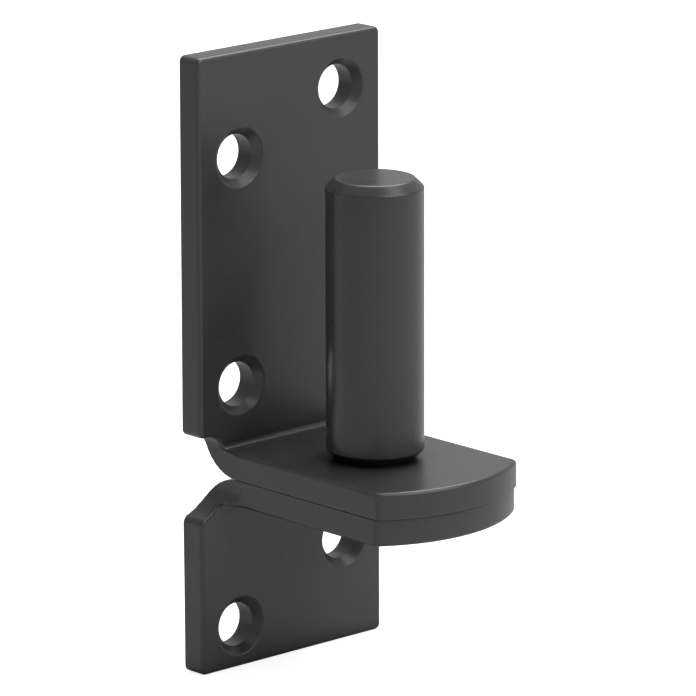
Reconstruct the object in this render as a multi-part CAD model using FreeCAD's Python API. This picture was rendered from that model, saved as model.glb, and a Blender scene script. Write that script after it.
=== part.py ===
import FreeCAD, Part

import math
import os

from FreeCAD import Vector

# Gate hinge pin: a round pin riveted through the tongues of two bent wall plates.
# Millimetres. +Z is up along the pin, the wall is the plane Y = 0 and the part stands out of it along -Y.
# X = 0 is the middle of the plates. The pieces are drawn about the seam where the two tongues meet, and are
# then moved down together, so that the origin is the middle of the whole back.

# Plates
plate_thickness = 4.5
plate_width = 40.0
upper_plate_height = 70.0
lower_plate_height = 33.2
plate_corner_radius = 0.6
bend_inner_radius = 0.9
bend_outer_radius = 8.0

# Tongues, which are narrower than the plates by a step on each side and have a round nose
shoulder_step = 4.5
upper_shoulder_radius = 2.4
lower_shoulder_foot = 1.1
lower_shoulder_radius = 6.0
shoulder_corner_radius = 0.6
tongue_corner_radius = 0.6
nose_radius = 26.0
nose_reach = 46.8
lower_nose_setback = 0.4

# Edges: the shown side of a plate is rounded by the press, the seam and wall side is only deburred
shown_edge_radius = 0.45
hidden_edge_chamfer = 0.2

# Pin
pin_offset = 24.6
pin_diameter = 16.0
pin_height = 46.4
pin_top_chamfer = 1.5
pin_foot_chamfer = 1.5

# Riveted end of the pin
tenon_diameter = 11.0
tenon_clearance = 0.05
rivet_head_overhang = 1.5
rivet_head_height = 0.8
rivet_head_slope = 2.0

# Countersunk screw holes
screw_hole_diameter = 7.4
countersink_diameter = 10.0
upper_hole_edge_distance = 8.9
lower_hole_edge_distance = 8.4
upper_right_hole_below_top = 9.0
upper_left_hole_below_top = 17.4
upper_left_hole_above_seam = 14.6
lower_right_hole_above_bottom = 17.5
lower_left_hole_above_bottom = 7.0

# Sizes that follow from the ones above
half_plate = plate_width / 2
half_tongue = half_plate - shoulder_step
upper_shoulder_foot = plate_thickness
nose_centre_out = nose_reach - nose_radius
strip_reach = nose_reach + plate_thickness
pin_radius = pin_diameter / 2
tenon_radius = tenon_diameter / 2
rivet_head_radius = tenon_radius + rivet_head_overhang
rivet_face_radius = rivet_head_radius - rivet_head_slope
upper_hole_x = half_plate - upper_hole_edge_distance
lower_hole_x = half_plate - lower_hole_edge_distance
inner_bend_end = plate_thickness + bend_inner_radius
back_middle = (upper_plate_height - lower_plate_height) / 2
full_turn = 360
quarter_arc = 0.5 ** 0.5
touching = 1e-6

across = Vector(1, 0, 0)
outward = Vector(0, -1, 0)
upward = Vector(0, 0, 1)
origin = Vector(0, 0, 0)


def line(start, end):
    return Part.LineSegment(start, end).toShape()


def arc(start, middle, end):
    return Part.Arc(start, middle, end).toShape()


def bent_strip(height):
    """The plate's L section, as wide as the wall plate. The metal is a little thinner in the bend."""

    def at(out, up):
        return Vector(-half_plate, -out, up)

    def bend(centre, radius):
        """A quarter round from the wall to the tongue."""
        middle = centre - radius * quarter_arc
        return arc(at(centre - radius, centre), at(middle, middle), at(centre, centre - radius))

    section = [
        line(at(0, height), at(0, bend_outer_radius)),
        bend(bend_outer_radius, bend_outer_radius),
        line(at(bend_outer_radius, 0), at(strip_reach, 0)),
        line(at(strip_reach, 0), at(strip_reach, plate_thickness)),
        line(at(strip_reach, plate_thickness), at(inner_bend_end, plate_thickness)),
        bend(inner_bend_end, bend_inner_radius),
        line(at(plate_thickness, inner_bend_end), at(plate_thickness, height)),
        line(at(plate_thickness, height), at(0, height)),
    ]
    return Part.Face(Part.Wire(section)).extrude(across * plate_width)


def upright_edges_at(solid, direction, places):
    """Edges that run along a direction through one of the places."""
    found = []
    for edge in solid.Edges:
        start, end = edge.firstVertex().Point, edge.lastVertex().Point
        if (end - start).cross(direction).Length > touching:
            continue
        for place in places:
            if (start - place).cross(direction).Length < touching:
                found.append(edge)
    return found


def shoulder(side, foot, radius):
    """The step from a tongue to its plate's side: a hollow, and a level edge where it ends short."""
    hollow_width = min(radius, shoulder_step)
    whole_turn = math.acos(1 - hollow_width / radius)

    def on_hollow(turn):
        x = half_tongue + radius - radius * math.cos(turn)
        z = foot + radius * math.sin(turn)
        return Vector(side * x, 0, z)

    hollow_end = on_hollow(whole_turn)
    corner = Vector(side * half_plate, 0, hollow_end.z)
    edges = [arc(on_hollow(0), on_hollow(whole_turn / 2), hollow_end)]
    if hollow_end.distanceToPoint(corner) > touching:
        edges.append(line(hollow_end, corner))
    return edges, corner


def front_outline(height, foot, radius):
    """What the plate covers seen from the front: the wall plate, its shoulders and the tongue below them."""
    below = -plate_thickness

    def at(x, z):
        return Vector(x, 0, z)

    right_step, right_corner = shoulder(1, foot, radius)
    left_step, left_corner = shoulder(-1, foot, radius)
    edges = right_step + left_step
    edges += [
        line(right_corner, at(half_plate, height)),
        line(at(half_plate, height), at(-half_plate, height)),
        line(at(-half_plate, height), left_corner),
        line(at(-half_tongue, foot), at(-half_tongue, below)),
        line(at(-half_tongue, below), at(half_tongue, below)),
        line(at(half_tongue, below), at(half_tongue, foot)),
    ]
    outline = Part.Wire(Part.__sortEdges__(edges))
    block = Part.Face(outline).extrude(outward * strip_reach)
    top_corners = upright_edges_at(block, outward, [at(half_plate, height), at(-half_plate, height)])
    block = block.makeFillet(plate_corner_radius, top_corners)
    shoulder_corners = upright_edges_at(block, outward, [right_corner, left_corner])
    return block.makeFillet(shoulder_corner_radius, shoulder_corners)


def nose_corner_out(radius):
    """How far from the wall the straight sides of a tongue end in the round of its nose."""
    return nose_centre_out + (radius**2 - half_tongue**2) ** 0.5


def plan_outline(height, radius):
    """What the plate covers seen from above: the plate, the tongue and its round nose."""
    corner_out = nose_corner_out(radius)
    half_side_angle = math.asin(half_tongue / radius) / 2
    side_x = radius * math.sin(half_side_angle)
    side_out = nose_centre_out + radius * math.cos(half_side_angle)
    tip_out = nose_centre_out + radius

    def at(x, out):
        return Vector(x, -out, 0)

    def waist(side):
        """From the plate's side in to the tongue's side, with a hollow where the tongue leaves the bend."""
        hollow_slant = shoulder_step * quarter_arc
        hollow_end = inner_bend_end + shoulder_step
        middle = at(side * (half_plate - hollow_slant), hollow_end - hollow_slant)
        return [
            line(at(side * half_plate, 0), at(side * half_plate, inner_bend_end)),
            arc(at(side * half_plate, inner_bend_end), middle, at(side * half_tongue, hollow_end)),
            line(at(side * half_tongue, hollow_end), at(side * half_tongue, corner_out)),
        ]

    edges = waist(1) + waist(-1)
    edges += [
        line(at(-half_plate, 0), at(half_plate, 0)),
        arc(at(half_tongue, corner_out), at(side_x, side_out), at(0, tip_out)),
        arc(at(0, tip_out), at(-side_x, side_out), at(-half_tongue, corner_out)),
    ]
    outline = Part.Wire(Part.__sortEdges__(edges))
    return Part.Face(outline).extrude(upward * height)


def on_skin_at(face, depth, bend_radius):
    """Whether a face lies on one side of the bent sheet, at a depth from its wall and seam side."""
    place = face.CenterOfMass
    surface = face.Surface
    if isinstance(surface, Part.Cylinder):
        lies_across = surface.Axis.cross(across).Length < touching
        return lies_across and abs(surface.Radius - bend_radius) < touching
    if not isinstance(surface, Part.Plane):
        return False
    faces_out = surface.Axis.cross(outward).Length < touching
    faces_up = surface.Axis.cross(upward).Length < touching
    is_wall = faces_out and abs(place.y + depth) < touching
    is_tongue = faces_up and abs(place.z - depth) < touching
    return is_wall or is_tongue


def on_shown_skin(face):
    """Whether a face is the front of the wall plate, the inside of the bend or the open side of a tongue."""
    return on_skin_at(face, plate_thickness, bend_inner_radius)


def on_hidden_skin(face):
    """Whether a face is the back of the wall plate, the outside of the bend or the seam side of a tongue."""
    return on_skin_at(face, 0, bend_outer_radius)


def rim_edges(solid, on_skin):
    """Edges where the skin meets the cut edge of the plate."""
    found = []
    for edge in solid.Edges:
        skins = [on_skin(face) for face in solid.ancestorsOfType(edge, Part.Face)]
        if any(skins) and not all(skins):
            found.append(edge)
    return found


def screw_hole(x, z):
    """A through hole along Y, with a 90 degree countersink in the front of the plate."""
    hole_radius = screw_hole_diameter / 2
    sink_radius = countersink_diameter / 2
    sink_depth = sink_radius - hole_radius
    front = Vector(x, -plate_thickness, z)
    hole = Part.makeCylinder(hole_radius, plate_thickness, front, outward * -1)
    sink = Part.makeCone(sink_radius, hole_radius, sink_depth, front, outward * -1)
    return hole.fuse(sink)


def pin_hole():
    """The hole in a tongue that the pin's tenon goes through."""
    radius = tenon_radius + tenon_clearance
    return Part.makeCylinder(radius, plate_thickness, Vector(0, -pin_offset, 0), upward)


def rivet_sink():
    """The countersink in the open face of the lower tongue, which the riveted head fills."""
    start = Vector(0, -pin_offset, plate_thickness)
    return Part.makeCone(rivet_head_radius, tenon_radius, rivet_head_overhang, start, upward * -1)


def bent_plate(height, foot, radius, setback, cuts):
    """A plate stamped to its outline, bent, rounded along its edges and drilled, with its wall upward."""
    nose = nose_radius - setback
    plate = bent_strip(height).common(front_outline(height, foot, radius))
    plate = plate.common(plan_outline(height, nose)).Solids[0]
    corner_out = nose_corner_out(nose)
    corners = [Vector(half_tongue, -corner_out, 0), Vector(-half_tongue, -corner_out, 0)]
    plate = plate.makeFillet(tongue_corner_radius, upright_edges_at(plate, upward, corners))
    plate = plate.makeFillet(shown_edge_radius, rim_edges(plate, on_shown_skin))
    plate = plate.makeChamfer(hidden_edge_chamfer, rim_edges(plate, on_hidden_skin))
    return plate.cut(cuts).Solids[0]


def upper_plate():
    top_right = screw_hole(upper_hole_x, upper_plate_height - upper_right_hole_below_top)
    top_left = screw_hole(-upper_hole_x, upper_plate_height - upper_left_hole_below_top)
    bottom_left = screw_hole(-upper_hole_x, upper_left_hole_above_seam)
    cuts = [top_right, top_left, bottom_left, pin_hole()]
    return bent_plate(upper_plate_height, upper_shoulder_foot, upper_shoulder_radius, 0, cuts)


def lower_plate():
    """Made with its wall upward, as the upper plate is, and then turned over about the seam."""
    right = screw_hole(lower_hole_x, lower_plate_height - lower_right_hole_above_bottom)
    left = screw_hole(-lower_hole_x, lower_plate_height - lower_left_hole_above_bottom)
    cuts = [right, left, pin_hole(), rivet_sink()]
    foot, radius = lower_shoulder_foot, lower_shoulder_radius
    plate = bent_plate(lower_plate_height, foot, radius, lower_nose_setback, cuts)
    return plate.mirror(origin, upward)


def hinge_pin():
    """The turned pin: chamfered top, shoulder on the tongue, tenon through both tongues and riveted head."""
    foot = plate_thickness
    top = foot + pin_height
    underside = -plate_thickness
    head_top = underside + rivet_head_overhang
    rivet_face = underside - rivet_head_height

    def at(radius, z):
        return Vector(radius, -pin_offset, z)

    edges = [
        line(at(0, rivet_face), at(rivet_face_radius, rivet_face)),
        line(at(rivet_face_radius, rivet_face), at(rivet_head_radius, underside)),
        line(at(rivet_head_radius, underside), at(tenon_radius, head_top)),
        line(at(tenon_radius, head_top), at(tenon_radius, foot)),
        line(at(tenon_radius, foot), at(pin_radius - pin_foot_chamfer, foot)),
        line(at(pin_radius - pin_foot_chamfer, foot), at(pin_radius, foot + pin_foot_chamfer)),
        line(at(pin_radius, foot + pin_foot_chamfer), at(pin_radius, top - pin_top_chamfer)),
        line(at(pin_radius, top - pin_top_chamfer), at(pin_radius - pin_top_chamfer, top)),
        line(at(pin_radius - pin_top_chamfer, top), at(0, top)),
        line(at(0, top), at(0, rivet_face)),
    ]
    section = Part.Face(Part.Wire(edges))
    return section.revolve(Vector(0, -pin_offset, 0), upward, full_turn)


pieces = {
    "upper_plate": upper_plate(),
    "lower_plate": lower_plate(),
    "hinge_pin": hinge_pin(),
}

os.makedirs("parts", exist_ok=True)
for node, solid in pieces.items():
    solid.translate(upward * -back_middle)
    print(node, solid.ShapeType, "valid", solid.isValid(), "volume", round(solid.Volume, 1))
    solid.exportStep("parts/" + node + ".step")
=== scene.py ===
import math

import bpy
from mathutils import Matrix, Vector


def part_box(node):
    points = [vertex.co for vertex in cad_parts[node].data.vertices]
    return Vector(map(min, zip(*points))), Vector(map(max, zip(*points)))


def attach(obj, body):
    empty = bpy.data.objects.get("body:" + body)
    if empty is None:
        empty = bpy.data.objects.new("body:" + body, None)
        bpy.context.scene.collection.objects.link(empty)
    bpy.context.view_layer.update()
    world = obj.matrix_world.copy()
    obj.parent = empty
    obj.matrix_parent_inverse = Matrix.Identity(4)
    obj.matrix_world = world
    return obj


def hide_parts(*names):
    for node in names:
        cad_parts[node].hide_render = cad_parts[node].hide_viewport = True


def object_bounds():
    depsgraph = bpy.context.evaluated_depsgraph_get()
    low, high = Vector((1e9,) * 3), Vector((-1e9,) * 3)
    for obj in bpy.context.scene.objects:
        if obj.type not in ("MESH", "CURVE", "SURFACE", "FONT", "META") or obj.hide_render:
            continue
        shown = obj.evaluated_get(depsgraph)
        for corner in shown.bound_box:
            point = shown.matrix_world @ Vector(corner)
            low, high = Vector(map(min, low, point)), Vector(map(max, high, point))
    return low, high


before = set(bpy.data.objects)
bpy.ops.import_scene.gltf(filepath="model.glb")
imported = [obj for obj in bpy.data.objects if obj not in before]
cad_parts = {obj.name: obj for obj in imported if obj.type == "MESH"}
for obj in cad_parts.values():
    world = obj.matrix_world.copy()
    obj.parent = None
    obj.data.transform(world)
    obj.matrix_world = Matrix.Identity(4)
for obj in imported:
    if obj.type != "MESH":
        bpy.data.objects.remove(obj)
cad_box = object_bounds()


# Upper plate
# The tall wall plate is stamped from 4.5 mm steel sheet and bent at its foot into a tongue with a round nose.
# Its edges are rounded by the press and its screw holes are countersunk. It was coated after it was riveted.
millimetre = 0.001
plate_low, plate_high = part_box("upper_plate")
seam = plate_low.z
half_plate = plate_high.x
upper_height = plate_high.z - seam
plate_thickness = 4.5 * millimetre
bend_outer_radius = 8 * millimetre
bend_outer_segments = 9
bend_inner_radius = 0.9 * millimetre
bend_inner_segments = 3
inner_bend_end = plate_thickness + bend_inner_radius

half_tongue = 15.5 * millimetre
shoulder_step = half_plate - half_tongue
shoulder_segments = 7
upper_shoulder_foot = plate_thickness
upper_shoulder_radius = 2.4 * millimetre
waist_segments = 16
nose_radius = 26 * millimetre
nose_reach = -plate_low.y
nose_middle = nose_reach - nose_radius
nose_sides = 144

corner_rounding = 1 * millimetre
nose_corner_rounding = 0.6 * millimetre
corner_segments = 5
shown_rounding = 0.7 * millimetre
shown_segments = 4
hidden_rounding = 0.2 * millimetre
hidden_segments = 2

hole_radius = 3.7 * millimetre
hole_sides = 96
sink_radius = 5 * millimetre
sink_rim_rounding = 0.2 * millimetre
sink_rim_segments = 3
pin_offset = 24.6 * millimetre
pin_hole_radius = 5.55 * millimetre
upper_hole_edge_distance = 8.9 * millimetre
right_hole_below_top = 9 * millimetre
left_hole_below_top = 17.4 * millimetre
left_hole_above_seam = 14.6 * millimetre

# How far a cutter stands past what it cuts, and how near counts as the same place, line, plane or direction
beyond = 5 * millimetre
sink_beyond = 1 * millimetre
touching = 0.01 * millimetre
welded = 0.001 * millimetre
cut_error = 0.2 * millimetre
rim_error = 0.05 * millimetre
bend_error = 0.05
square_on = 0.99
edge_on = 0.01
sheet_flatness = math.radians(1)
cut_flatness = math.radians(0.2)
sharp_angle = math.radians(32)


def pick(piece):
    """Selects one piece and nothing else."""
    bpy.ops.object.select_all(action="DESELECT")
    piece.select_set(True)
    bpy.context.view_layer.objects.active = piece


def edit_mode(piece):
    """Opens one piece for editing, with none of it selected."""
    pick(piece)
    bpy.ops.object.mode_set(mode="EDIT")
    bpy.ops.mesh.select_all(action="DESELECT")


def select_faces(piece, wanted):
    """Selects the faces of a piece in edit mode by their middle and normal."""
    bpy.ops.mesh.select_mode(type="FACE")
    bpy.ops.mesh.select_all(action="DESELECT")
    bpy.ops.object.mode_set(mode="OBJECT")
    for face in piece.data.polygons:
        face.select = wanted(face.center, face.normal)
    bpy.ops.object.mode_set(mode="EDIT")


def select_edges(piece, wanted):
    """Selects the edges of a piece in edit mode by their two ends."""
    bpy.ops.mesh.select_mode(type="EDGE")
    bpy.ops.mesh.select_all(action="DESELECT")
    bpy.ops.object.mode_set(mode="OBJECT")
    corners = piece.data.vertices
    for edge in piece.data.edges:
        edge.select = wanted(corners[edge.vertices[0]].co, corners[edge.vertices[1]].co)
    bpy.ops.object.mode_set(mode="EDIT")


def bevel_selected(size, segments):
    """Rounds the selected edges of the piece in edit mode."""
    bpy.ops.mesh.bevel(offset=size, segments=segments, affect="EDGES", loop_slide=False)


def bevel_where(piece, on_line, size, segments):
    """Rounds the edges of a piece in edit mode whose ends both lie on a line."""
    select_edges(piece, lambda start, end: on_line(start) and on_line(end))
    bevel_selected(size, segments)


def block(name, low, high):
    """A square block between two corners."""
    low, high = Vector(low), Vector(high)
    bpy.ops.object.select_all(action="DESELECT")
    bpy.ops.mesh.primitive_cube_add(size=1, location=(low + high) / 2, scale=high - low)
    made = bpy.context.object
    made.name = name
    bpy.ops.object.transform_apply(location=True, rotation=True, scale=True)
    return made


def cut(piece, cutter):
    """Takes a cutter's shape out of a piece and throws the cutter away."""
    pick(piece)
    taken = piece.modifiers.new("cut", "BOOLEAN")
    taken.operation = "DIFFERENCE"
    taken.solver = "EXACT"
    taken.object = cutter
    bpy.ops.object.modifier_apply(modifier=taken.name)
    bpy.data.objects.remove(cutter)


def near(value, wanted):
    """Whether two lengths are the same."""
    return abs(value - wanted) < touching


def shoulder_cutter(side, foot, radius):
    """A block that leaves the tongue narrower than the plate, with a hollow where the two meet."""
    top = seam + foot + radius
    ends = sorted((side * half_tongue, side * (half_plate + beyond)))
    low = (ends[0], -nose_reach - beyond, seam - beyond)
    cutter = block("shoulder cutter", low, (ends[1], beyond, top))
    edit_mode(cutter)

    def on_hollow(place):
        return near(place.x, side * half_tongue) and near(place.z, top)

    bevel_where(cutter, on_hollow, radius, shoulder_segments)
    bpy.ops.object.mode_set(mode="OBJECT")
    return cutter


def waist_cutter(side):
    """A block beside the tongue, with a hollow where the tongue leaves the bend."""
    ends = sorted((side * half_tongue, side * (half_plate + beyond)))
    low = (ends[0], -nose_reach - beyond, seam - beyond)
    cutter = block("waist cutter", low, (ends[1], -inner_bend_end, seam + inner_bend_end + beyond))
    edit_mode(cutter)

    def on_hollow(place):
        return near(place.x, side * half_tongue) and near(place.y, -inner_bend_end)

    bevel_where(cutter, on_hollow, shoulder_step - touching, waist_segments)
    bpy.ops.object.mode_set(mode="OBJECT")
    return cutter


def nose_cutter(radius):
    """What lies outside the round of the nose."""
    low = (-half_plate - beyond, -nose_reach - beyond, seam - beyond)
    high = (half_plate + beyond, -pin_offset, seam + plate_thickness + beyond)
    cutter = block("nose cutter", low, high)
    bpy.ops.object.select_all(action="DESELECT")
    bpy.ops.mesh.primitive_cylinder_add(
        vertices=nose_sides, radius=radius, depth=1, location=(0, -nose_middle, seam)
    )
    round_of_nose = bpy.context.object
    bpy.ops.object.transform_apply(location=True, rotation=True, scale=True)
    cut(cutter, round_of_nose)
    return cutter


def screw_hole_cutter():
    """A screw hole along Y with its countersink, made in the middle and copied to each hole's place."""
    depth = plate_thickness + 2 * beyond
    sink_depth = sink_radius - hole_radius
    bpy.ops.object.select_all(action="DESELECT")
    bpy.ops.mesh.primitive_cylinder_add(
        vertices=hole_sides,
        radius=hole_radius,
        depth=depth,
        location=(0, -plate_thickness + sink_depth + depth / 2, seam),
        rotation=(math.pi / 2, 0, 0),
    )
    cutter = bpy.context.object
    cutter.name = "screw hole cutter"
    bpy.ops.object.transform_apply(location=True, rotation=True, scale=True)
    edit_mode(cutter)
    select_faces(cutter, lambda middle, normal: normal.y < -square_on)
    drawn_out = sink_depth + sink_beyond
    widened = 1 + drawn_out / hole_radius
    bpy.ops.mesh.extrude_region_move(TRANSFORM_OT_translate={"value": (0, -drawn_out, 0)})
    bpy.ops.transform.resize(
        value=(widened, 1, widened), center_override=(0, -plate_thickness - sink_beyond, seam)
    )
    bpy.ops.object.mode_set(mode="OBJECT")
    return cutter


def pin_hole_cutter():
    """The hole in a tongue for the pin's turned down end."""
    bpy.ops.object.select_all(action="DESELECT")
    bpy.ops.mesh.primitive_cylinder_add(
        vertices=hole_sides,
        radius=pin_hole_radius,
        depth=4 * plate_thickness,
        location=(0, -pin_offset, seam),
    )
    cutter = bpy.context.object
    bpy.ops.object.transform_apply(location=True, rotation=True, scale=True)
    return cutter


def on_bend(middle, radius, end):
    """Whether a face's middle lies on the bend of a radius, which ends so far from the wall and the seam."""
    out, up = -middle.y, middle.z - seam
    in_bend = out < end + touching and up < end + touching
    return in_bend and abs(math.hypot(end - out, end - up) - radius) < bend_error * radius


def on_shown_skin(middle, normal):
    """Whether a face is the front of the wall plate, the inside of the bend or the open side of a tongue."""
    wall = near(middle.y, -plate_thickness) and normal.y < -square_on
    tongue = near(middle.z, seam + plate_thickness) and normal.z > square_on
    bend = abs(normal.x) < edge_on and on_bend(middle, bend_inner_radius, inner_bend_end)
    return wall or tongue or bend


def on_hidden_skin(middle, normal):
    """Whether a face is the back of the wall plate, the outside of the bend or the seam side of a tongue."""
    wall = near(middle.y, 0) and normal.y > square_on
    tongue = near(middle.z, seam) and normal.z < -square_on
    bend = abs(normal.x) < edge_on and on_bend(middle, bend_outer_radius, bend_outer_radius)
    return wall or tongue or bend


def bevel_shown_rim(piece):
    """Rounds the rim of the shown side of the sheet, where it meets the cut edge."""
    select_faces(piece, on_shown_skin)
    bpy.ops.mesh.region_to_loop()
    bevel_selected(shown_rounding, shown_segments)


def bevel_hidden_rim(piece):
    """Deburrs the rim of the wall and seam side along its two flat faces. The bend's rim is left as bent."""
    end = bend_outer_radius - touching

    def on_wall_or_seam(place):
        on_wall = near(place.y, 0) and place.z - seam > end
        return on_wall or (near(place.z, seam) and -place.y > end)

    select_faces(piece, on_hidden_skin)
    bpy.ops.mesh.region_to_loop()
    bpy.ops.object.mode_set(mode="OBJECT")
    corners = piece.data.vertices
    for edge in piece.data.edges:
        if not all(on_wall_or_seam(corners[corner].co) for corner in edge.vertices):
            edge.select = False
    bpy.ops.object.mode_set(mode="EDIT")
    bevel_selected(hidden_rounding, hidden_segments)


def bent_strip(name, height):
    """The sheet before it is cut to its outline: a wall plate and a tongue of one width, with the bend."""
    inner_corner = seam + plate_thickness
    strip = block(name, (-half_plate, -plate_thickness, seam), (half_plate, 0, seam + height))
    edit_mode(strip)
    bpy.ops.mesh.select_all(action="SELECT")
    bpy.ops.mesh.bisect(plane_co=(0, 0, inner_corner), plane_no=(0, 0, 1))
    select_faces(strip, lambda middle, normal: normal.y < -square_on and middle.z < inner_corner)
    bpy.ops.mesh.extrude_region_move(TRANSFORM_OT_translate={"value": (0, -nose_reach, 0)})
    bpy.ops.mesh.select_all(action="SELECT")
    bpy.ops.mesh.dissolve_limited(angle_limit=sheet_flatness)

    def on_outer_corner(place):
        return near(place.y, 0) and near(place.z, seam)

    def on_inner_corner(place):
        return near(place.y, -plate_thickness) and near(place.z, inner_corner)

    bevel_where(strip, on_outer_corner, bend_outer_radius, bend_outer_segments)
    bevel_where(strip, on_inner_corner, bend_inner_radius, bend_inner_segments)
    bpy.ops.object.mode_set(mode="OBJECT")
    return strip


def bent_plate(name, height, shoulder_foot, shoulder_radius, nose_setback):
    """A plate with its wall upward: a bent strip, cut to its outline and rounded along its edges."""
    top = seam + height
    nose = nose_radius - nose_setback
    plate = bent_strip(name, height)
    for side in (1, -1):
        cut(plate, shoulder_cutter(side, shoulder_foot, shoulder_radius))
        cut(plate, waist_cutter(side))
    cut(plate, nose_cutter(nose))

    edit_mode(plate)
    bpy.ops.mesh.select_all(action="SELECT")
    bpy.ops.mesh.remove_doubles(threshold=welded)
    bpy.ops.mesh.dissolve_limited(angle_limit=cut_flatness)
    hollow_width = min(shoulder_radius, shoulder_step)
    hollow_rise = (shoulder_radius**2 - (shoulder_radius - hollow_width) ** 2) ** 0.5
    shoulder_corner = seam + shoulder_foot + hollow_rise
    nose_corner = -nose_middle - (nose**2 - half_tongue**2) ** 0.5

    for side in (1, -1):

        def on_top_corner(place):
            return near(place.x, side * half_plate) and near(place.z, top)

        def on_shoulder_corner(place):
            return near(place.x, side * half_plate) and abs(place.z - shoulder_corner) < cut_error

        def on_nose_corner(place):
            return near(place.x, side * half_tongue) and abs(place.y - nose_corner) < cut_error

        bevel_where(plate, on_top_corner, corner_rounding, corner_segments)
        bevel_where(plate, on_shoulder_corner, corner_rounding, corner_segments)
        bevel_where(plate, on_nose_corner, nose_corner_rounding, corner_segments)
    bevel_shown_rim(plate)
    bevel_hidden_rim(plate)
    bpy.ops.object.mode_set(mode="OBJECT")
    return plate


def drill(plate, holes):
    """Cuts the pin hole and the screw holes, each given by its place across and its height above the seam."""
    cut(plate, pin_hole_cutter())
    master = screw_hole_cutter()
    for across, height in holes:
        cutter = master.copy()
        cutter.data = master.data.copy()
        bpy.context.scene.collection.objects.link(cutter)
        cutter.data.transform(Matrix.Translation((across, 0, height)))
        cut(plate, cutter)
    bpy.data.objects.remove(master)
    edit_mode(plate)
    for across, height in holes:
        middle = Vector((across, -plate_thickness, seam + height))

        def on_sink_rim(place):
            off_rim = abs((place - middle).length - sink_radius)
            return near(place.y, -plate_thickness) and off_rim < rim_error

        bevel_where(plate, on_sink_rim, sink_rim_rounding, sink_rim_segments)
    bpy.ops.object.mode_set(mode="OBJECT")


def smooth(piece):
    """Shades the rounded edges smooth and keeps the flat faces flat."""
    pick(piece)
    bpy.ops.object.shade_smooth_by_angle(angle=sharp_angle)
    weighted = piece.modifiers.new("flat faces", "WEIGHTED_NORMAL")
    weighted.keep_sharp = True
    bpy.ops.object.modifier_apply(modifier=weighted.name)


upper_plate = bent_plate("tall_plate", upper_height, upper_shoulder_foot, upper_shoulder_radius, 0)
upper_hole_across = half_plate - upper_hole_edge_distance
upper_holes = [
    (upper_hole_across, upper_height - right_hole_below_top),
    (-upper_hole_across, upper_height - left_hole_below_top),
    (-upper_hole_across, left_hole_above_seam),
]
drill(upper_plate, upper_holes)
smooth(upper_plate)


def noise_at(tree, place, size, detail, name):
    """Cloudy noise with spots of about the given size in metres."""
    noise = tree.nodes.new("ShaderNodeTexNoise")
    noise.name = name
    noise.inputs["Scale"].default_value = 1 / size
    noise.inputs["Detail"].default_value = detail
    tree.links.new(place, noise.inputs["Vector"])
    return noise.outputs["Fac"]


def spread(tree, value, taken, given):
    """Stretches a value from the range that is taken to the range that is given, and keeps it there."""
    stretch = tree.nodes.new("ShaderNodeMapRange")
    stretch.inputs["From Min"].default_value = taken[0]
    stretch.inputs["From Max"].default_value = taken[1]
    stretch.inputs["To Min"].default_value = given[0]
    stretch.inputs["To Max"].default_value = given[1]
    tree.links.new(value, stretch.inputs["Value"])
    return stretch.outputs["Result"]


def multiplied(tree, first, second):
    """The product of two values."""
    product = tree.nodes.new("ShaderNodeMath")
    product.operation = "MULTIPLY"
    tree.links.new(first, product.inputs[0])
    tree.links.new(second, product.inputs[1])
    return product.outputs["Value"]


def colour_mix(tree):
    """A mix of two colours, which the caller fills in."""
    mix = tree.nodes.new("ShaderNodeMix")
    mix.data_type = "RGBA"
    return mix


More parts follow.
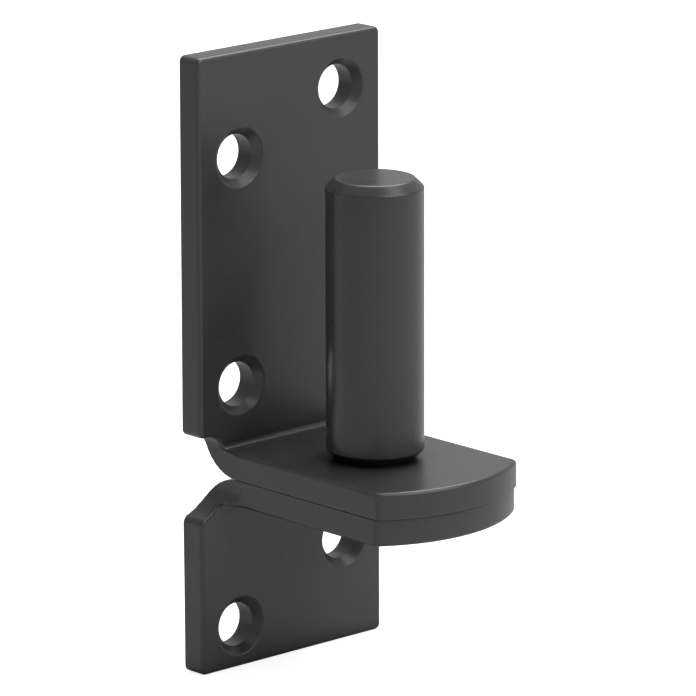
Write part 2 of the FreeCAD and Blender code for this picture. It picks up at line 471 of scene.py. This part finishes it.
def powder_coat(name, painted_shade_colour, dark, light, rubbed_and_highlight_colour, roughness):
    """Satin black powder coat: an orange peel skin, a fine grain, faint clouds in its gloss and its black.

    Holes, corners and the pin's foot are darkened by an occlusion mask: painted shade. Along the open edges
    the coat is lightened in patches, partly as wear and partly as a painted highlight.
    """
    coat = bpy.data.materials.new(name)
    coat.use_nodes = True
    tree = coat.node_tree
    shader = tree.nodes["Principled BSDF"]
    place = tree.nodes.new("ShaderNodeTexCoord").outputs["Object"]

    clouds = noise_at(tree, place, 14 * millimetre, 3, "clouds in the coat")
    grain = noise_at(tree, place, 0.16 * millimetre, 2, "grain of the powder")
    peel = noise_at(tree, place, 0.75 * millimetre, 1.5, "orange peel")
    most_of_noise = (0.3, 0.7)

    black = colour_mix(tree)
    black.inputs["A"].default_value = dark
    black.inputs["B"].default_value = light
    cloud_tint = spread(tree, clouds, most_of_noise, (0.25, 1))
    grain_tint = spread(tree, grain, most_of_noise, (0.6, 1))
    tree.links.new(multiplied(tree, cloud_tint, grain_tint), black.inputs["Factor"])

    # Painted shade: an ambient occlusion mask darkens the coat in holes, inner corners, seams and at the
    # pin's foot.
    painted_shade_occlusion = tree.nodes.new("ShaderNodeAmbientOcclusion")
    painted_shade_occlusion.samples = 8
    painted_shade_occlusion.inputs["Distance"].default_value = 4 * millimetre
    painted_shade_mix = colour_mix(tree)
    painted_shade_mix.inputs["A"].default_value = painted_shade_colour
    open_surface = spread(tree, painted_shade_occlusion.outputs["AO"], (0.42, 0.9), (0, 1))
    tree.links.new(open_surface, painted_shade_mix.inputs["Factor"])
    tree.links.new(black.outputs["Result"], painted_shade_mix.inputs["B"])

    # Partly wear, partly a painted highlight: a bevel mask lightens the convex edges in noisy patches, only
    # where they are not under painted shade.
    edge = tree.nodes.new("ShaderNodeBevel")
    edge.samples = 6
    edge.inputs["Radius"].default_value = 0.7 * millimetre
    turned = tree.nodes.new("ShaderNodeVectorMath")
    turned.operation = "DOT_PRODUCT"
    tree.links.new(edge.outputs["Normal"], turned.inputs[0])
    tree.links.new(tree.nodes.new("ShaderNodeNewGeometry").outputs["Normal"], turned.inputs[1])
    on_edge = spread(tree, turned.outputs["Value"], (0.97, 0.8), (0, 1))
    open_edge = multiplied(tree, on_edge, open_surface)
    patches = noise_at(tree, place, 2.5 * millimetre, 4, "rubbed and highlighted places")
    rubbed_and_highlight = multiplied(tree, open_edge, spread(tree, patches, (0.42, 0.68), (0.05, 0.6)))
    worn_and_highlight = colour_mix(tree)
    worn_and_highlight.inputs["B"].default_value = rubbed_and_highlight_colour
    tree.links.new(rubbed_and_highlight, worn_and_highlight.inputs["Factor"])
    tree.links.new(painted_shade_mix.outputs["Result"], worn_and_highlight.inputs["A"])
    tree.links.new(worn_and_highlight.outputs["Result"], shader.inputs["Base Color"])

    cloud_gloss = spread(tree, clouds, most_of_noise, roughness)
    grain_gloss = spread(tree, grain, most_of_noise, (0.94, 1.06))
    tree.links.new(multiplied(tree, cloud_gloss, grain_gloss), shader.inputs["Roughness"])
    shader.inputs["IOR"].default_value = 1.5

    skin = tree.nodes.new("ShaderNodeBump")
    skin.inputs["Strength"].default_value = 0.55
    skin.inputs["Distance"].default_value = 0.012 * millimetre
    tree.links.new(peel, skin.inputs["Height"])
    powder = tree.nodes.new("ShaderNodeBump")
    powder.inputs["Strength"].default_value = 0.35
    powder.inputs["Distance"].default_value = 0.004 * millimetre
    tree.links.new(grain, powder.inputs["Height"])
    tree.links.new(skin.outputs["Normal"], powder.inputs["Normal"])
    tree.links.new(powder.outputs["Normal"], shader.inputs["Normal"])
    return coat


plate_coat = powder_coat(
    "satin_black_plate_coat",
    # The first colour is painted shade in recesses; the rubbed colour is partly edge wear and partly a
    # painted highlight.
    painted_shade_colour=(0.01, 0.01, 0.01, 1),
    dark=(0.032, 0.032, 0.033, 1),
    light=(0.046, 0.046, 0.048, 1),
    rubbed_and_highlight_colour=(0.11, 0.11, 0.115, 1),
    roughness=(0.27, 0.36),
)
upper_plate.data.materials.append(plate_coat)
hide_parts("upper_plate")
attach(upper_plate, "root")


# Lower plate
# The short wall plate is the same sheet, bent the other way, so that its tongue lies under the upper one.
# It is held there by the pin's rivet, and has the same coat. It is made wall upward and then turned over.
lower_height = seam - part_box("lower_plate")[0].z
lower_shoulder_foot = 1.1 * millimetre
lower_shoulder_radius = 6 * millimetre
lower_nose_setback = 0.4 * millimetre
lower_hole_edge_distance = 8.4 * millimetre
right_hole_above_bottom = 17.5 * millimetre
left_hole_above_bottom = 7 * millimetre
rivet_sink_depth = 1.5 * millimetre

lower_plate = bent_plate(
    "short_plate", lower_height, lower_shoulder_foot, lower_shoulder_radius, lower_nose_setback
)
lower_hole_across = half_plate - lower_hole_edge_distance
lower_holes = [
    (-lower_hole_across, lower_height - right_hole_above_bottom),
    (lower_hole_across, lower_height - left_hole_above_bottom),
]
drill(lower_plate, lower_holes)

rivet_sink_height = rivet_sink_depth + sink_beyond
rivet_sink_foot = seam + plate_thickness - rivet_sink_depth
bpy.ops.object.select_all(action="DESELECT")
bpy.ops.mesh.primitive_cone_add(
    vertices=hole_sides,
    radius1=pin_hole_radius,
    radius2=pin_hole_radius + rivet_sink_height,
    depth=rivet_sink_height,
    location=(0, -pin_offset, rivet_sink_foot + rivet_sink_height / 2),
)
rivet_sink = bpy.context.object
bpy.ops.object.transform_apply(location=True, rotation=True, scale=True)
cut(lower_plate, rivet_sink)

edit_mode(lower_plate)
bpy.ops.mesh.select_all(action="SELECT")
bpy.ops.transform.rotate(value=math.pi, orient_axis="Y", center_override=(0, 0, seam))
bpy.ops.object.mode_set(mode="OBJECT")
smooth(lower_plate)
lower_plate.data.materials.append(plate_coat)
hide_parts("lower_plate")
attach(lower_plate, "root")


# Hinge pin
# A 16 mm drawn steel bar with chamfered ends, turned down at its foot and riveted through both tongues.
# The gate's eye drops over it and turns on it. Its coat is a little smoother than on the sheet.
pin_low, pin_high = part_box("hinge_pin")
pin_radius = (pin_high.x - pin_low.x) / 2
pin_axis = Vector((0, (pin_low.y + pin_high.y) / 2, 0))
pin_top = pin_high.z
pin_foot = seam + plate_thickness
pin_sides = 192
pin_chamfer = 1.5 * millimetre
pin_edge_rounding = 0.22 * millimetre
pin_edge_segments = 4
tenon_radius = 5.5 * millimetre
rivet_overhang = 1.5 * millimetre
rivet_slope = 2 * millimetre
rivet_rounding = 1 * millimetre
rivet_segments = 4


def bevel_rings(piece, rings, size, segments):
    """Bevels rings about the pin's axis, each given by its radius and height."""
    for radius, height in rings:

        def on_ring(place):
            return near((place - pin_axis).xy.length, radius) and near(place.z, height)

        bevel_where(piece, on_ring, size, segments)


def lowest_height(piece):
    """How low a piece in edit mode reaches."""
    bpy.ops.object.mode_set(mode="OBJECT")
    lowest = min(corner.co.z for corner in piece.data.vertices)
    bpy.ops.object.mode_set(mode="EDIT")
    return lowest


def extrude_end(piece, drop, old_radius, new_radius):
    """Draws the selected end of the pin down and makes it wider or narrower on the way."""
    bpy.ops.mesh.extrude_region_move(TRANSFORM_OT_translate={"value": (0, 0, -drop)})
    share = new_radius / old_radius
    end_middle = pin_axis + Vector((0, 0, lowest_height(piece)))
    bpy.ops.transform.resize(value=(share, share, 1), center_override=end_middle)


bpy.ops.object.select_all(action="DESELECT")
bpy.ops.mesh.primitive_cylinder_add(
    vertices=pin_sides,
    radius=pin_radius,
    depth=pin_top - pin_foot,
    location=pin_axis + Vector((0, 0, (pin_top + pin_foot) / 2)),
)
pin = bpy.context.object
pin.name = "pin"
bpy.ops.object.transform_apply(location=True, rotation=True, scale=True)

edit_mode(pin)
bevel_rings(pin, [(pin_radius, pin_top), (pin_radius, pin_foot)], pin_chamfer, 1)
chamfer_rings = [
    (pin_radius, pin_top - pin_chamfer),
    (pin_radius - pin_chamfer, pin_top),
    (pin_radius, pin_foot + pin_chamfer),
]
bevel_rings(pin, chamfer_rings, pin_edge_rounding, pin_edge_segments)

end_height = lowest_height(pin)
select_faces(pin, lambda middle, normal: near(middle.z, end_height) and normal.z < -square_on)
bpy.ops.mesh.inset(thickness=pin_radius - pin_chamfer - tenon_radius)
underside = seam - plate_thickness
head_radius = tenon_radius + rivet_overhang
face_radius = head_radius - rivet_slope
extrude_end(pin, pin_foot - underside - rivet_overhang, tenon_radius, tenon_radius)
extrude_end(pin, rivet_overhang, tenon_radius, head_radius)
extrude_end(pin, underside - pin_low.z, head_radius, face_radius)
bevel_rings(pin, [(face_radius, pin_low.z)], rivet_rounding, rivet_segments)
bpy.ops.object.mode_set(mode="OBJECT")
smooth(pin)

pin_coat = powder_coat(
    "satin_black_pin_coat",
    painted_shade_colour=(0.01, 0.01, 0.01, 1),
    # The first colour is painted shade in recesses; the lighter rubbed colour is partly wear and partly a
    # painted highlight on the rims.
    dark=(0.032, 0.032, 0.033, 1),
    light=(0.044, 0.044, 0.047, 1),
    rubbed_and_highlight_colour=(0.17, 0.17, 0.175, 1),
    roughness=(0.26, 0.33),
)
pin.data.materials.append(pin_coat)
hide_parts("hinge_pin")
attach(pin, "root")


# Floor
# A plain white studio floor, on which the lower plate stands. It glows for the camera only, so that it is as
# white as the background and throws no light of its own on the part.
floor_size = 8
floor_gap = 0.05 * millimetre
bpy.ops.object.select_all(action="DESELECT")
bpy.ops.mesh.primitive_plane_add(size=floor_size, location=(0, 0, cad_box[0][2] - floor_gap))
floor = bpy.context.object
floor.name = "floor"
floor_paint = bpy.data.materials.new("white_floor")
floor_paint.use_nodes = True
floor_tree = floor_paint.node_tree
floor_shader = floor_tree.nodes["Principled BSDF"]
floor_shader.inputs["Base Color"].default_value = (0.55, 0.55, 0.55, 1)
floor_shader.inputs["Roughness"].default_value = 0.9
floor_shader.inputs["Emission Color"].default_value = (1, 1, 1, 1)
seen = floor_tree.nodes.new("ShaderNodeLightPath").outputs["Is Camera Ray"]
floor_tree.links.new(spread(floor_tree, seen, (0, 1), (0, 0.8)), floor_shader.inputs["Emission Strength"])
floor.data.materials.append(floor_paint)


# Light
# A pale tent, dim in front on the left and bright behind on the right, with two large soft boxes above: one
# in front of the part and one behind it on the right.
tent_strength = (0.4, 0.58)
bright_side = Vector((0.85, 0.53, 0))
world = bpy.data.worlds.new("pale_tent")
bpy.context.scene.world = world
world.use_nodes = True
tent = world.node_tree
direction = tent.nodes.new("ShaderNodeTexCoord").outputs["Generated"]
facing = tent.nodes.new("ShaderNodeVectorMath")
facing.operation = "DOT_PRODUCT"
facing.inputs[1].default_value = bright_side
tent.links.new(direction, facing.inputs[0])
strength = spread(tent, facing.outputs["Value"], (-0.1, 0.7), tent_strength)
tent.links.new(strength, tent.nodes["Background"].inputs["Strength"])
tent.nodes["Background"].inputs["Color"].default_value = (1, 1, 1, 1)
bpy.context.scene.view_settings.view_transform = "Standard"


def soft_box(name, place, lit_point, width, power):
    """A large square lamp that faces a point."""
    lamp = bpy.data.lights.new(name, "AREA")
    lamp.shape = "SQUARE"
    lamp.size = width
    lamp.energy = power
    box = bpy.data.objects.new(name, lamp)
    box.location = place
    box.rotation_euler = (place - lit_point).to_track_quat("Z", "Y").to_euler()
    bpy.context.scene.collection.objects.link(box)


soft_box("soft_box_in_front", Vector((0.25, -1, 0.9)), Vector((0, -0.02, 0)), width=1.2, power=11)
soft_box("soft_box_behind", Vector((0.4, 0.2, 0.8)), Vector((0.3, 0.15, 0)), width=0.7, power=8)


# Camera
# It stands where the photograph was taken from, to the left of the part and a little above it.
camera_azimuth = math.radians(-42.741)
camera_elevation = math.radians(14.154)
camera_roll = math.radians(-0.174)
camera_distance = 1.0358
aim = Vector((0.0029116, -0.015, 0.0203496 + seam))
focal_length_px = 6348.32
picture_px = 696
camera_data = bpy.data.cameras.new("camera")
camera_data.sensor_width = 36
camera_data.lens = camera_data.sensor_width * focal_length_px / picture_px
camera = bpy.data.objects.new("camera", camera_data)
bpy.context.scene.collection.objects.link(camera)
towards_camera = Vector(
    (
        math.sin(camera_azimuth) * math.cos(camera_elevation),
        -math.cos(camera_azimuth) * math.cos(camera_elevation),
        math.sin(camera_elevation),
    )
)
camera.matrix_world = (
    Matrix.Translation(aim + towards_camera * camera_distance)
    @ towards_camera.to_track_quat("Z", "Y").to_matrix().to_4x4()
    @ Matrix.Rotation(camera_roll, 4, "Z")
)
bpy.context.scene.camera = camera
